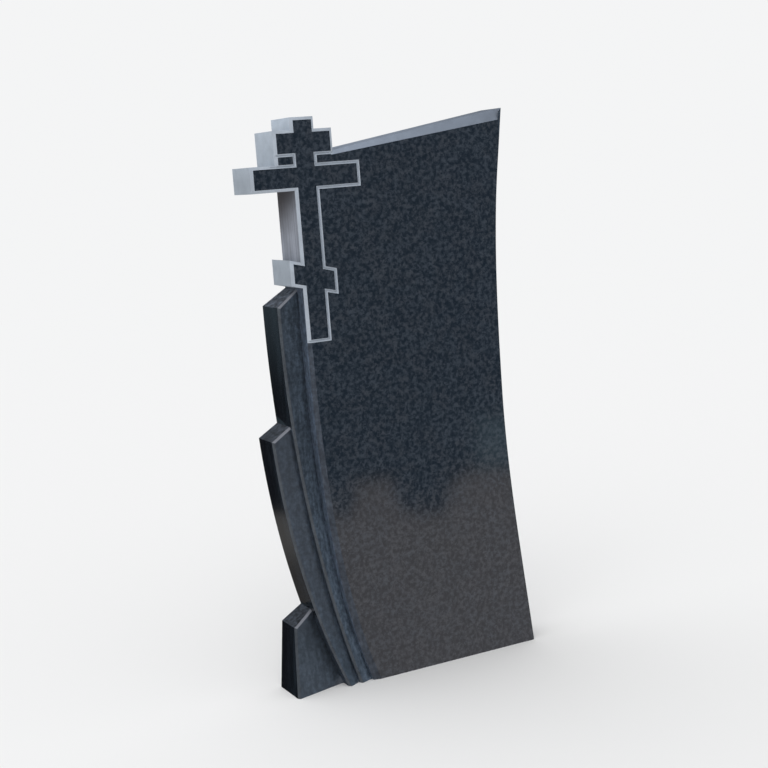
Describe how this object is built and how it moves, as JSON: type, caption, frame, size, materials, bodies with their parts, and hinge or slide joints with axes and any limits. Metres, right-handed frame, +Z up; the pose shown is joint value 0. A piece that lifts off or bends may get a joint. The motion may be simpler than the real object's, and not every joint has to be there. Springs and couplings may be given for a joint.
{
  "type": "headstone",
  "caption": "Upright dark stone grave marker with a raised barred cross, overlapping curved leaves down its left side and a top edge that rises to a point.",
  "frame": {"origin": "middle of the footprint, on the flat underside", "axes": "+Z up the stone, -Y out of the polished face, +X to the right as seen from the front"},
  "size_m": [0.5, 0.08, 1],
  "materials": {
    "stone": "near-black fine-grained stone, mirror polished on the face and sides, with the border, grooves, bar ends and top bevel left ground and light grey"
  },
  "bodies": {
    "root": {"headstone": "stone"}
  },
  "joints": []
}
